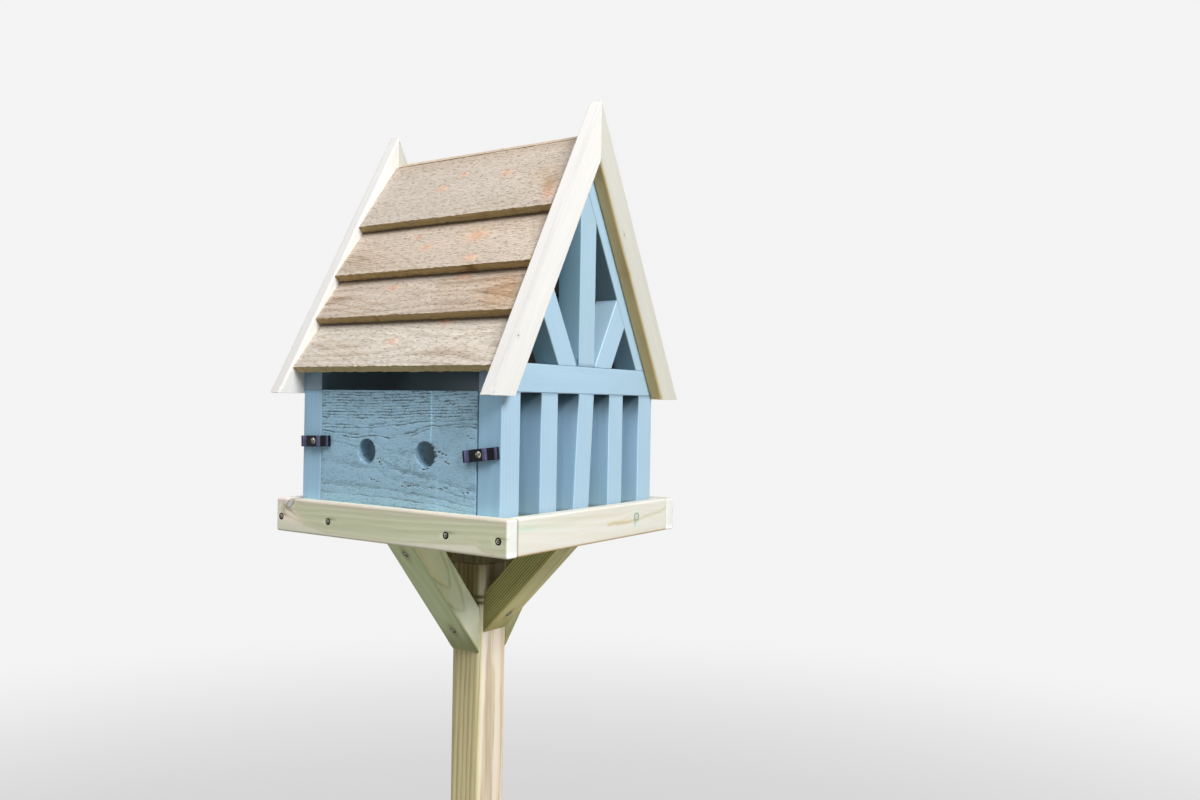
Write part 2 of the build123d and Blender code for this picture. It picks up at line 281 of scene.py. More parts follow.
def tint_vertex(vert, layer, colour, share):
    parts = (*colour, 1.0)[:4]
    vert[layer] = [value * (1.0 + (part - 1.0) * share) for value, part in zip(vert[layer], parts)]


class Timber:
    """One length of wood: its surface, and its own three directions, the first along its fibres."""

    def __init__(self, surface):
        self.surface = surface
        along = way_of(max(surface.edges, key=lambda edge: edge.calc_length()))
        level = [edge for edge in surface.edges if abs(way_of(edge).dot(along)) < 0.05]
        across = way_of(max(level, key=lambda edge: edge.calc_length()))
        across = (across - along * across.dot(along)).normalized()
        self.ways = [way if max(way, key=abs) > 0 else -way for way in (along, across, along.cross(across))]
        reaches = [[vert.co.dot(way) for vert in surface.verts] for way in self.ways]
        self.size = [max(reach) - min(reach) for reach in reaches]
        middles = [(max(reach) + min(reach)) / 2 for reach in reaches]
        self.middle = sum((way * middle for way, middle in zip(self.ways, middles)), Vector())

    def spot(self, point):
        """Where a point is along, across and through the timber, from its middle."""
        return Vector([(point - self.middle).dot(way) for way in self.ways])

    def places(self):
        """Each vertex, and its spot before any wear."""
        return zip(self.surface.verts, self.spots)

    def tints(self):
        return self.surface.verts.layers.float_color["tint"]

    def ease(self, width):
        """Takes the sharp corners off."""
        sharp = [edge for edge in self.surface.edges if edge.calc_face_angle(0.0) > SHARP_CORNER]
        bmesh.ops.bevel(self.surface, geom=sharp, offset=width, segments=2, profile=0.5,
                        affect="EDGES", material=-1)

    def cut(self, *spacings):
        """Divides the faces along, across and through, so that they can be worn."""
        for way, size, spacing in zip(self.ways, self.size, spacings):
            steps = max(1, round(size / spacing))
            for step in range(1, steps):
                point = self.middle + way * size * (step / steps - 0.5)
                parts = self.surface.verts[:] + self.surface.edges[:] + self.surface.faces[:]
                bmesh.ops.bisect_plane(self.surface, geom=parts, dist=1e-6, plane_co=point, plane_no=way)
        self.surface.normal_update()
        self.spots = [self.spot(vert.co) for vert in self.surface.verts]

    def lay_grain(self, heart, ring, wander, knots=(), lean=0.0, bow=0.0, oval=(1.2, 0.0)):
        """Gives every vertex its place in the tree. The heart line lies so far across and through, and
        leans and bows away along the timber. A knot has its place along and across, and its radius, and
        is drawn out into an oval at a slant; the rings bend round it."""
        layers = self.surface.verts.layers
        fibre, rings = layers.float_vector.new("fibre"), layers.float.new("rings")
        knot, tint = layers.float.new("knot"), layers.float_color.new("tint")
        for vert, (along, across, through) in self.places():
            nearest, swell = 9.0, 0.0
            for knot_along, knot_across, radius in knots:
                off_along, off_across = along - knot_along, across - knot_across
                turned = Matrix.Rotation(oval[1], 2) @ Vector((off_along, off_across))
                nearest = min(nearest, math.hypot(turned.x / oval[0], turned.y) / radius)
                near = math.exp(-((off_along / 2.6) ** 2 + off_across**2) / (1.7 * radius) ** 2)
                across -= off_across * near * 0.85
                swell += near * radius * 0.9
            drift = noise.noise((along * 2.6, across * 9.0, through * 9.0 + heart[0] * 50)) * wander
            vert[fibre] = (along, across + drift, through)
            out = math.hypot(across - heart[0], through - heart[1]) + lean * along + bow * along**2
            vert[rings] = (out + drift - swell) / ring
            vert[knot] = nearest
            vert[tint] = WHITE

    def tint(self, colour, place=(0, 0, 0), reach=(0, 0, 0), facing=None):
        """Tints the wood round a place, as far as it reaches each way, where 0 is all the way; a tint is a
        stain, painted light or painted shade. A fourth part of the colour makes the annual rings bolder or
        fainter there."""
        layer = self.tints()
        limits = [(way, place[way], reach[way]) for way in range(3) if reach[way]]
        for vert, spot in self.places():
            away = 0.0
            for way, middle, far in limits:
                away += ((spot[way] - middle) / far) ** 2
            if away > STAIN_EDGE:
                continue
            share = math.exp(-away)
            if facing:
                share *= clamp(vert.normal.dot(facing) * 2.0 - 0.6)
            tint_vertex(vert, layer, colour, share)

    def tint_all(self, tints, side=1):
        """Lays on tints, stains and painted light and shade, that have a place and a reach, or only the way
        they face. Where side is -1, they lie on the other face of the timber."""
        for colour, *limits in tints:
            if len(limits) > 1:
                (along, across, through), *others = limits
                self.tint(colour, (along, across, through * side), *others)
            else:
                self.tint(colour, facing=limits[0] if limits else None)

    def stain_below(self, points, soft, colour):
        """Stains all the wood below a line along the timber."""
        layer = self.tints()
        for vert, (along, across, through) in self.places():
            off = (across - curve(points, along)) / soft
            if off < 0.5:
                tint_vertex(vert, layer, colour, min(1.0, 0.5 - off))

    def stain_line(self, points, width, colour, way=1, facing=None):
        """Stains a thin line through points that lie so far along, and across or through."""
        layer = self.tints()
        ends = [Vector(point) for point in points]
        for vert, spot in self.places():
            if facing and vert.normal.dot(facing) < 0.5:
                continue
            at = Vector((spot[0], spot[way]))
            nearest = 1.0
            for start, end in zip(ends, ends[1:]):
                step = end - start
                share = clamp((at - start).dot(step) / step.length_squared)
                nearest = min(nearest, (at - start - step * share).length)
            if nearest < width * 2.0:
                tint_vertex(vert, layer, colour, math.exp(-((nearest / width) ** 2)))

    def wear(self, depth, cells, ring_depth):
        """Sinks the faces unevenly, in streaks along the fibres and between the rings."""
        rings = self.surface.verts.layers.float["rings"]
        for vert, (along, across, through) in self.places():
            if abs(vert.normal.dot(self.ways[0])) < 0.25:
                streak = noise.noise((along * cells[0], across * cells[1], through * cells[1]))
                sink = depth * (0.5 + 0.5 * streak)
                sink += ring_depth * (0.5 + 0.5 * math.sin(vert[rings] * math.tau))
                vert.co -= vert.normal * sink

    def fray(self, way, side, depth, cells):
        """Makes one edge face uneven, and the wood just behind it less so."""
        direction = self.ways[way] * side
        for vert, spot in self.places():
            behind = self.size[way] / 2 - spot[way] * side
            if behind < depth * 2.5:
                torn = noise.noise((spot.x * cells, spot.y * cells, spot.z * cells + 7.0))
                bite = depth * (0.5 + 0.5 * torn)
                vert.co -= direction * bite * (1.0 - behind / (depth * 2.5))


def timbers_of(node, arris, *spacings):
    """The solids of a node as separate lengths of wood, with every sharp corner eased."""
    whole = bmesh.new()
    whole.from_mesh(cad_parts[node].data)
    bmesh.ops.remove_doubles(whole, verts=whole.verts, dist=2e-6)
    bmesh.ops.dissolve_limit(whole, angle_limit=math.radians(1), verts=whole.verts, edges=whole.edges)
    whole.verts.ensure_lookup_table()
    group = {}
    for vert in whole.verts:
        waiting = [] if vert.index in group else [vert]
        for near in waiting:
            group[near.index] = vert.index
            linked = [edge.other_vert(near) for edge in near.link_edges]
            waiting += [other for other in linked if other.index not in group]
    timbers = []
    for first in sorted(set(group.values())):
        single = whole.copy()
        spare = [vert for vert in single.verts if group[vert.index] != first]
        bmesh.ops.delete(single, geom=spare, context="VERTS")
        timber = Timber(single)
        timber.ease(arris)
        timber.cut(*spacings)
        timbers.append(timber)
    whole.free()
    return timbers


def show(name, surface, material, body="table", node=None):
    """Makes a piece of the table from its surface, standing for a solid if it is one."""
    mesh = bpy.data.meshes.new(name)
    surface.to_mesh(mesh)
    surface.free()
    mesh.shade_smooth()
    mesh.set_sharp_from_angle(angle=SMOOTH_BELOW)
    mesh.materials.append(material)
    piece = add_object(name, mesh)
    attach(piece, body)
    if node:
        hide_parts(node)


def add_to(work, part):
    """Joins one surface to another."""
    mesh = bpy.data.meshes.new("part")
    part.to_mesh(mesh)
    part.free()
    work.from_mesh(mesh)
    bpy.data.meshes.remove(mesh)


def show_timbers(node, timbers, material):
    joined = bmesh.new()
    for timber in timbers:
        add_to(joined, timber.surface)
    show(f"{node}_timber", joined, material, node=node)


def wood_finish(name, early, late, streak, roughness=0.62, relief=0.00015, fibre_share=0.2, broad_share=0.2,
                knot_core=KNOT_CORE, knot_rim=KNOT_RIM, blur=0.55, knot_share=0.75, fuzz=0.0):
    """Bare softwood: pale early wood, darker late wood, fibres, and knots with a dark rim."""
    material, principled, shade = new_finish(name)
    fibre = shade.attribute("fibre", "Vector")
    fine = fibre.noise((16.0, 800.0, 800.0), 2.0, 0.6)
    broad = fibre.noise((3.0, 42.0, 42.0), 2.0, 0.55)
    ragged = fibre.noise((11.0, 120.0, 120.0)) - 0.5
    phase = (shade.attribute("rings") + ragged * blur).math("FRACT")
    patchy = fibre.noise((7.0, 160.0, 160.0), 3.0, 0.65)
    latewood = phase.step(0.25, 0.85) * phase.step(1.0, 0.9) * (patchy * 1.5 - 0.1)
    latewood = latewood * shade.attribute("tint", "Alpha")
    colour = (latewood * streak).between(early, late)
    level = fine * fibre_share + broad * broad_share + (1.0 - fibre_share / 2 - broad_share / 2)
    if fuzz:
        torn = fibre.noise((140.0, 800.0, 800.0), 3.0, 0.7)
        level = level * (torn.step(0.6, 0.7) * -fuzz + 1.0) + torn.step(0.42, 0.3) * fuzz * 0.5
    colour = colour.mix(level.grey(), 1.0, "MULTIPLY").tinted()
    knot = shade.attribute("knot") + ragged * 0.5
    core = knot.step(1.3, 0.8)
    rim = knot.step(0.5, 0.9) * knot.step(1.15, 0.95)
    colour = colour.mix(knot_core, core * knot_share).mix(knot_rim, rim * knot_share)
    height = fine * 0.6 + latewood * 0.5 + core * 0.3
    if fuzz:
        height = height - torn.step(0.55, 0.7) * 1.5
    shade.feed(principled, {
        "Base Color": colour,
        "Roughness": fine * 0.14 + (roughness - 0.07),
        "Normal": height.bump(relief),
        "Specular IOR Level": 0.3,
    })
    return material


post_wood = wood_finish("post_wood", POST_EARLY, POST_LATE, 0.8)
(post,) = timbers_of("post", 0.0016, 0.004, 0.003, 0.003)
post.lay_grain((-0.07, -0.012), POST_RING, 0.008, POST_KNOTS)
post.tint_all(POST_STAINS_AND_LIGHT)
post.wear(0.00022, (8.0, 160.0), 0.0001)
show_timbers("post", [post], post_wood)


# The head: a square block on the post's top, and four braces of planed green-treated softwood that
# are screwed up from the post to the tray's rails. Each brace has a heart line, a ring, a lean and a bow.
BRACE_EARLY = srgb(228, 230, 184)
BRACE_LATE = srgb(160, 146, 96)
STRIPED_LATE = srgb(88, 78, 40)
BRACES = {
    "brace_left": ((0.06, 0.02), 0.0115, 0.06, 1.1),
    "brace_right": ((-0.08, -0.01), 0.005, 0.03, 0.5),
    "brace_front": ((-0.004, 0.095), 0.0032, 0.0, 0.0),
    "brace_rear": ((0.01, -0.09), 0.0036, 0.02, 0.0),
}
BRACE_UNDER = -0.019
SCREW_STAIN = (0.55, 0.4, 0.26)
# The last row darkens the brace towards one end: painted shade at its joint.
BRACE_STAINS_AND_SHADE = (
    ((1.1, 0.98, 0.86), (0, -0.024, BRACE_UNDER), (0, 0.003, 0.003)),
    (SCREW_STAIN, (0.068, 0, BRACE_UNDER), (0.012, 0.005, 0.004)),
    (SCREW_STAIN, (-0.076, 0, BRACE_UNDER), (0.012, 0.005, 0.004)),
    ((0.55, 0.52, 0.42), (-0.11, 0, 0), (0.035, 0, 0)),
)
DOWN_LEFT = Vector((-1, 0, -1)).normalized()
DOWN_FRONT = Vector((0, -1, -1)).normalized()
# Painted light and shade: the left brace's front face is lightened and its lower arris darkened, and the
# front brace's left face is darkened and its lower face lightened towards one end.
BRACE_SIDE_STAINS_AND_LIGHT = {
    "brace_left": (
        ((1.55, 1.62, 1.78, 0.2), FRONT),
        ((1.06, 1.05, 1.3), (-0.085, 0, 0), (0.05, 0, 0), FRONT),
        ((0.92, 1.02, 0.98, 0.25), DOWN_LEFT),
        ((0.74, 0.77, 0.77), (0, -0.0225, BRACE_UNDER), (0, 0.0035, 0.0035)),
        ((1.18, 0.98, 0.86), (0.03, 0, -0.012), (0.03, 0, 0.0022), FRONT),
    ),
    "brace_front": (
        ((0.8, 0.78, 0.5), LEFT),
        ((1.02, 0.94, 0.76, 0.3), DOWN_FRONT),
        ((1.2, 1.18, 1.14), (-0.09, 0, 0), (0.06, 0, 0), DOWN_FRONT),
    ),
}
U_LINES = (
    ((0.0305, -0.0199), (0.0165, -0.0154), (0.0063, -0.0116), (-0.0039, -0.0057), (-0.0042, -0.0019),
     (0.0059, 0.0018), (0.0155, 0.0073), (0.045, 0.012)),
    ((-0.0184, -0.02), (-0.0293, -0.0165), (-0.0431, -0.0097), (-0.0496, -0.0024), (-0.0338, 0.0036),
     (-0.0198, 0.0082), (-0.0006, 0.0109), (0.03, 0.017)),
)

brace_wood = wood_finish("brace_wood", BRACE_EARLY, BRACE_LATE, 0.7)
striped_brace_wood = wood_finish("striped_brace_wood", BRACE_EARLY, STRIPED_LATE, 1.0, blur=0.3)
for node, (heart, ring, lean, bow) in BRACES.items():
    (brace,) = timbers_of(node, 0.001, 0.0035, 0.0018, 0.0018)
    brace.lay_grain(heart, ring, 0.004, lean=lean, bow=bow)
    brace.tint_all(BRACE_STAINS_AND_SHADE + BRACE_SIDE_STAINS_AND_LIGHT.get(node, ()))
    if node == "brace_left":
        for line in U_LINES:
            brace.stain_line(line, 0.002, (0.66, 0.69, 0.65), 2, FRONT)
    brace.wear(0.0003, (9.0, 140.0), 0.00012)
    striped = node in ("brace_front", "brace_rear")
    show_timbers(node, [brace], striped_brace_wood if striped else brace_wood)

(head_block,) = timbers_of("head_block", 0.0008, 0.004, 0.004, 0.004)
head_block.lay_grain((0.02, 0.06), 0.005, 0.006)
# Darkened all over: painted shade, where the block sits under the tray between the braces.
head_block.tint((0.36, 0.33, 0.26))
head_block.wear(0.0003, (12.0, 160.0), 0.0001)
show_timbers("head_block", [head_block], brace_wood)


# The tray: four planed rails of treated softwood, screwed together at the corners and into the
# bearers and the frame, with two bearers across and four thin boards on them.
UP = Vector((0, 0, 1))
RAIL_EARLY = srgb(229, 227, 194)
RAIL_LATE = srgb(196, 194, 148)
GABLE_RAIL_EARLY = srgb(252, 248, 237)
GABLE_RAIL_LATE = srgb(236, 222, 184)
RAIL_KNOT_CORE = srgb(214, 212, 204)
RAIL_KNOT_RIM = srgb(144, 138, 120)
RAIL_KNOT = (0.1705, 0.016, 0.0046)
GABLE_RAIL_KNOT = (0.087, 0.0035, 0.0052)
RAIL_FACE = 0.0095
RAIL_SCREWS = (0.188, 0.097, -0.105, -0.184)
RAIL_STAINS = (  # for each screw there are a pale dent and a dark streak beside it
    ((1.0, 1.05, 1.04, 0.7),),
    ((1.02, 0.94, 1.04, 0.5), (0, 0.019, RAIL_FACE), (0, 0.0045, 0.008)),
    ((0.99, 0.93, 1.06), UP),
    ((0.9, 0.84, 0.86), (0, 0.0225, RAIL_FACE), (0, 0.003, 0.004)),
    ((0.72, 0.6, 0.44), (0, -0.022, RAIL_FACE), (0, 0.0012, 0)),
    ((1.35, 1.4, 1.75), (0.1705, 0.016, RAIL_FACE), (0.006, 0.0055, 0.004)),
    ((1.16, 1.06, 1.1), (0.168, -0.002, RAIL_FACE), (0.022, 0.009, 0.004)),
    ((0.7, 0.62, 0.52, 2.0), (0.169, 0.0085, RAIL_FACE), (0.006, 0.0025, 0.004)),
    ((0.72, 0.66, 0.58, 2.0), (0.183, 0.0085, RAIL_FACE), (0.003, 0.008, 0.004)),
    ((1.2, 1.19, 1.6, 0.3), FRONT),
    ((1.16, 1.06, 0.96), -FRONT),
    *(((1.2, 1.26, 1.3), (along + 0.0055, -0.0035, RAIL_FACE), (0.0035, 0.003, 0.004))
      for along in RAIL_SCREWS),
    *(((0.55, 0.5, 0.38), (along - 0.005, 0.001, RAIL_FACE), (0.008, 0.0014, 0.004))
      for along in RAIL_SCREWS),
)
PALE_EDGE = ((-0.2, -0.0175), (-0.178, -0.0165), (-0.163, -0.015), (-0.149, -0.0075), (-0.135, -0.0085),
             (-0.08, -0.0125), (0, -0.0165), (0.1, -0.0155), (0.14, -0.009), (0.155, 0.0), (0.166, 0.012),
             (0.18, 0.03))
RAIL_LINES = (
    ([(along, low - 0.001) for along, low in PALE_EDGE[1:10]], 0.0012, (0.9, 0.87, 0.78)),
    (((0.183, 0.014), (0.1765, 0.0085), (0.169, 0.006), (0.16, 0.002)), 0.0012, (0.62, 0.54, 0.44)),
    (((0.188, 0.01), (0.183, 0.001), (0.172, -0.003), (0.15, -0.006)), 0.0014, (0.84, 0.78, 0.7)),
)
GABLE_RAIL_STAINS = (
    ((0.89, 0.9, 0.9, 0.6),),
    ((0.86, 0.99, 0.96), (-0.15, 0.01, 0), (0.018, 0.0035, 0)),
    ((0.93, 0.98, 0.94), (-0.1, 0.009, 0), (0.09, 0.006, 0)),
    ((0.86, 1.07, 1.06), (0.087, 0.0035, 0), (0.008, 0.011, 0)),
    ((0.95, 0.9, 0.78), (0.05, 0.0005, 0), (0.03, 0.004, 0)),
    ((0.97, 0.93, 0.9), (-0.03, 0.012, 0), (0.13, 0.004, 0)),
    ((0.5, 0.5, 0.46), (0.0835, -0.003, 0), (0.002, 0.0045, 0)),
    ((0.6, 0.62, 0.6), (0.0905, 0.0035, 0), (0.0014, 0.005, 0)),
    ((0.8, 0.56, 0.24), (0, -0.0215, 0), (0, 0.002, 0)),
    ((0.5, 0.47, 0.38), (-0.1663, 0, 0), (0.0012, 0, 0)),
    ((0.72, 0.68, 0.6), (0.1663, 0, 0), (0.001, 0, 0)),
)
GABLE_RAIL_LINES = (
    (((0.088, -0.003), (0.1, 0.001), (0.115, 0.003), (0.15, 0.005), (0.166, 0.011)),
     0.0017, (0.82, 0.84, 0.68)),
    (((0.018, -0.0015), (0.032, -0.0005), (0.05, -0.0018), (0.066, -0.0022), (0.082, -0.0005)),
     0.0018, (0.86, 0.78, 0.6)),
)

rail_wood = wood_finish("rail_wood", RAIL_EARLY, RAIL_LATE, 0.42, fibre_share=0.16,
                        knot_core=RAIL_KNOT_CORE, knot_rim=RAIL_KNOT_RIM)
gable_rail_wood = wood_finish("gable_rail_wood", GABLE_RAIL_EARLY, GABLE_RAIL_LATE, 0.4, fibre_share=0.12,
                              knot_core=RAIL_KNOT_CORE, knot_rim=RAIL_KNOT_RIM)
for node, outward in (("rail_left", -1), ("rail_right", 1)):
    (rail,) = timbers_of(node, 0.0022, 0.0025, 0.0012, 0.003)
    rail.lay_grain((-0.03, 0.055), 0.0034, 0.01, (RAIL_KNOT,), lean=0.02, oval=(2.2, 0.7))
    rail.tint_all(RAIL_STAINS, outward)
    rail.stain_below(PALE_EDGE, 0.008, (1.26, 1.2, 1.4, 0.5))
    for line in RAIL_LINES:
        rail.stain_line(*line)
    rail.wear(0.0002, (9.0, 180.0), 0.00008)
    show_timbers(node, [rail], rail_wood)
for node in ("rail_front", "rail_rear"):
    (rail,) = timbers_of(node, 0.0018, 0.0025, 0.0012, 0.003)
    rail.lay_grain((-0.035, 0.06), 0.004, 0.01, (GABLE_RAIL_KNOT,), lean=0.02)
    rail.tint_all(GABLE_RAIL_STAINS)
    for line in GABLE_RAIL_LINES:
        rail.stain_line(*line)
    rail.wear(0.0002, (9.0, 180.0), 0.00008)
    show_timbers(node, [rail], gable_rail_wood)
for node, arris in (("bearers", 0.0006), ("floor_boards", 0.0005)):
    boards = timbers_of(node, arris, 0.01, 0.008, 0.005)
    for number, board in enumerate(boards):
        board.lay_grain((0.02 - 0.015 * number, 0.05 + 0.01 * number), 0.0045, 0.008)
        # Darkened all over: weathering, and painted shade inside the house and under the tray.
        board.tint((0.55, 0.53, 0.46))
        board.wear(0.00025, (9.0, 150.0), 0.0001)
    show_timbers(node, boards, rail_wood)


# The screws: plated steel with cross heads, sunk a little. A row of four holds each long rail to the
# frame, and two go up through the lower face of each brace, into the post and into the tray.
SCREW_COLOUR = srgb(206, 204, 186)
SCREW_RUST = srgb(120, 116, 96)
RAIL_SCREW_RADIUS = 0.0028
RAIL_SCREW_OUT = 0.18535
RAIL_SCREW_HEIGHT = 1.2615
BRACE_SCREWS = (0.0675, -0.0765)
BRACE_SCREW_RADIUS = 0.0032
BRACE_HOLE_RADIUS = 0.0043
HEAD_PROUD = 0.00005
HOLE_SUNK = 0.0001
HOLE_DEPTH = 0.0008
CROSS_SHADE = 0.03
SKIRT_SHADE = 0.2


def metal_finish(name, colour, roughness, rust):
    """Plated steel, dull and speckled."""
    material, principled, shade = new_finish(name)
    place = shade.node("TexCoord", output="Object")
    speckle = place.noise((900.0, 900.0, 900.0), 3.0, 0.6)
    spots = speckle.step(0.5, 0.66)
    shade.feed(principled, {
        "Base Color": spots.between(colour, rust).tinted(),
        "Metallic": spots * -0.6 + 0.95,
        "Roughness": speckle * 0.3 + (roughness - 0.15),
        "Normal": speckle.bump(0.00006),
    })
    return material


def new_verts(made):
    return [part for part in made["geom"] if isinstance(part, bmesh.types.BMVert)]


def grey(value):
    return (value, value, value, 1.0)


def facing_turn(outward):
    """The turn that brings +Z to a direction."""
    return outward.to_track_quat("Z", "Y").to_matrix().to_4x4()


def add_head(work, place, outward, radius, turn=0.0, dome=0.0, cross=True):
    """A screw's or a nail's head: its rim at the place given, with a cross driven into it."""
    head = bmesh.new()
    tint = head.verts.layers.float_color.new("tint")
    bmesh.ops.create_grid(head, x_segments=10, y_segments=10, size=radius)
    corners = [vert for vert in head.verts if vert.co.length > radius * 1.08]
    bmesh.ops.delete(head, geom=corners, context="VERTS")
    for vert in head.verts:
        if vert.is_boundary:
            vert.co = vert.co.normalized() * radius
        # Each head is lighter towards one side, a painted highlight, and darker in the middle.
        wear_and_sheen = 0.75 + (0.5 * (vert.co.x + vert.co.y) / radius if cross else 0.0)
        vert[tint] = grey(wear_and_sheen * (0.5 if cross and vert.co.length < radius * 0.62 else 1.0))
    if cross:
        middles = [(face, face.calc_center_median() / radius) for face in head.faces]
        arms = [face for face, at in middles if min(abs(at.x), abs(at.y)) < 0.18 and at.length < 0.78]
        pushed = new_verts(bmesh.ops.extrude_face_region(head, geom=arms))
        for edge in [edge for vert in pushed for edge in vert.link_edges]:
            for vert in edge.verts:
                vert[tint] = grey(SKIRT_SHADE)
        for vert in pushed:
            vert.co = Vector((vert.co.x * 0.85, vert.co.y * 0.85, -radius * 0.3))
            vert[tint] = grey(CROSS_SHADE)
    for vert in head.verts:
        vert.co.z += dome * max(0.0, 1.0 - (vert.co.xy.length / radius) ** 2)
    rim = [edge for edge in head.edges if edge.is_boundary]
    for vert in new_verts(bmesh.ops.extrude_edge_only(head, edges=rim)):
        vert.co = Vector((vert.co.x * 0.8, vert.co.y * 0.8, -radius * 0.7))
        vert[tint] = grey(SKIRT_SHADE)
    bmesh.ops.edgeloop_fill(head, edges=[edge for edge in head.edges if edge.is_boundary])
    bmesh.ops.recalc_face_normals(head, faces=head.faces)
    head.transform(Matrix.Translation(place) @ facing_turn(outward) @ Matrix.Rotation(turn, 4, "Z"))
    add_to(work, head)


def add_hole_shadow(work, place, outward, radius):
    """A thin dark round plate under a countersunk head: painted shadow of the hole it sits in."""
    sunk = Matrix.Translation(place - outward * (HOLE_SUNK + HOLE_DEPTH / 2))
    bmesh.ops.create_cone(work, cap_ends=True, segments=20, radius1=radius, radius2=radius,
                          depth=HOLE_DEPTH, matrix=sunk @ facing_turn(outward))


# A dark plate under each head stands for the shadow in its sunk hole: painted shadow.
dull_zinc = metal_finish("dull_zinc", SCREW_COLOUR, 0.35, SCREW_RUST)
hole_shadow = metal_finish("hole_shadow", srgb(30, 26, 20), 0.8, srgb(18, 15, 11))
screws = bmesh.new()
screw_hole_shadows = bmesh.new()
for side in (-1, 1):
    outward = Vector((side, 0, 0))
    for number, along in enumerate(RAIL_SCREWS):
        place = Vector((side * RAIL_SCREW_OUT, along, RAIL_SCREW_HEIGHT))
        add_head(screws, place, outward, RAIL_SCREW_RADIUS, 0.4 + number * 0.7)
        add_hole_shadow(screw_hole_shadows, place, outward, RAIL_SCREW_RADIUS * 1.6)
show("rail_screws", screws, dull_zinc)
show("rail_screw_hole_shadows", screw_hole_shadows, hole_shadow)
brace_screws = bmesh.new()
brace_screw_hole_shadows = bmesh.new()
for side in ("left", "right", "front", "rear"):
    (brace,) = timbers_of(f"brace_{side}", 0.0008, 1.0, 1.0, 1.0)
    under = brace.ways[2] if brace.ways[2].z < 0 else -brace.ways[2]
    for number, along in enumerate(BRACE_SCREWS):
        place = brace.middle + brace.ways[0] * along + under * (brace.size[2] / 2 + HEAD_PROUD)
        add_head(brace_screws, place, under, BRACE_SCREW_RADIUS, 0.3 + number)
        add_hole_shadow(brace_screw_hole_shadows, place, under, BRACE_HOLE_RADIUS)
    brace.surface.free()
show("brace_screws", brace_screws, dull_zinc)
show("brace_screw_hole_shadows", brace_screw_hole_shadows, hole_shadow)


# The house frame: square planed battens under one coat of satin blue-grey paint. Corner posts and
# bars stand on the tray's floor, tie beams lie on them, and struts and rafters make the gables.
PAINT = srgb(177, 208, 228)
WORN_PAINT = srgb(196, 214, 222)
JOINT_SHADE = (0.6, 0.62, 0.64)
INSIDE_SHADE = (0.42, 0.44, 0.45)
SLOPE_LEFT = Vector((-0.88, 0, 0.48))
UNDER_LEFT = Vector((-0.88, 0, -0.48))
UNDER_RIGHT = Vector((0.88, 0, -0.48))
CORNERS = ("front_left", "front_right", "rear_left", "rear_right")
FRAME_NODES = (
    *(f"corner_post_{corner}" for corner in CORNERS),
    *(f"{kind}_{end}" for kind in ("tie_beam", "bars", "king_post", "struts") for end in ("front", "rear")),
    *(f"rafter_{corner}" for corner in CORNERS), "panel_battens",
)
STRUT_SHADES = (((0.42, 0.46, 0.42), UNDER_LEFT), ((1.55, 1.52, 1.54), SLOPE_LEFT))
FRAME_SHADES = {  # how light or dark a batten is where it faces each way
    "bars_rear": (((0.2, 0.24, 0.22), LEFT), ((1.25, 1.33, 1.49), FRONT)),
    "corner_post_front_left": (((0.83, 0.98, 1.06), LEFT),),
    "corner_post_rear_left": (((0.93, 1.07, 1.15), LEFT),),
    "king_post_front": (((0.95, 0.95, 0.93), FRONT), ((0.88, 0.98, 0.98), LEFT)),
    "struts_front": STRUT_SHADES,
    "struts_rear": STRUT_SHADES,
}


def paint_finish(name, colour, line_share, relief, roughness=0.42, sawn=False):
    """One coat of water-based satin paint, through which the fibres still show as fine lines. On sawn
    wood it shows where the grain is torn, in rows along it, and where two strokes of the brush meet; the
    torn grooves get painted shade and their lips a painted highlight."""
    material, principled, shade = new_finish(name)
    fibre = shade.attribute("fibre", "Vector")
    fine = fibre.noise((12.0, 650.0, 650.0), 2.0, 0.6)
    broad = fibre.noise((5.0, 45.0, 45.0), 3.0, 0.6)
    phase = (shade.attribute("rings") + (broad - 0.5) * 0.8).math("FRACT")
    latewood = phase.step(0.3, 0.85) * phase.step(1.0, 0.9)
    level = fine * line_share + broad * 0.1 + latewood * 0.03 + (0.94 - line_share / 2)
    wear_and_sheen = fibre.noise((40.0, 260.0, 260.0)).step(0.66, 0.74)
    painted = level.grey().mix(colour, 1.0, "MULTIPLY").mix(WORN_PAINT, wear_and_sheen * 0.25)
    height = fine * 0.6 + broad * 0.8 + latewood * 0.3
    if sawn:
        torn = shade.attribute("torn")
        ragged = fibre.noise((150.0, 480.0, 480.0), 3.0, 0.7)
        row = (shade.attribute("rings") + (ragged - 0.5) * 0.7).math("FRACT")
        dashed = fibre.noise((48.0, 260.0, 260.0)).step(0.36, 0.5) * torn
        groove = row.step(0.32, 0.14) * row.step(0, 0.05) * dashed
        lip = row.step(0.8, 0.92) * dashed
        speck = fibre.noise((230.0, 620.0, 620.0), 3.0, 0.75)
        dark = speck.step(0.54, 0.6) * (torn * 0.7 + 0.3)
        light = speck.step(0.45, 0.39) * (torn * 0.7 + 0.3)
        seam = shade.attribute("seam").math("ABSOLUTE").step(1.0, 0.4) * (ragged * 1.6)
        pit = shade.attribute("pit")
        hollow = (pit + (ragged - 0.5) * 0.7).step(0.1, 0.32)
        flake = pit.step(-0.7, -0.3) * (ragged + 0.1).step(0.58, 0.66) * (1.0 - hollow)
        # The torn grooves are darkened as painted shade, and their lips lightened as a painted highlight.
        painted = painted.mix(srgb(40, 54, 60), groove * 0.8).mix(srgb(60, 84, 92), dark * 0.7)
        painted = painted.mix(srgb(206, 230, 240), lip * 0.45 + light * 0.5 + flake * 0.8)
        painted = painted.mix(srgb(196, 250, 280), seam).mix(srgb(20, 26, 28), hollow * 0.95)
        height = height - groove * 2.5 - dark * 1.2 + light * 0.8 + seam * 0.2 - hollow * 3.0 + flake
    shade.feed(principled, {
        "Base Color": painted.tinted(),
        "Roughness": fine * 0.12 + (roughness - 0.06),
        "Normal": height.bump(relief),
        "Specular IOR Level": 0.4,
    })
    return material


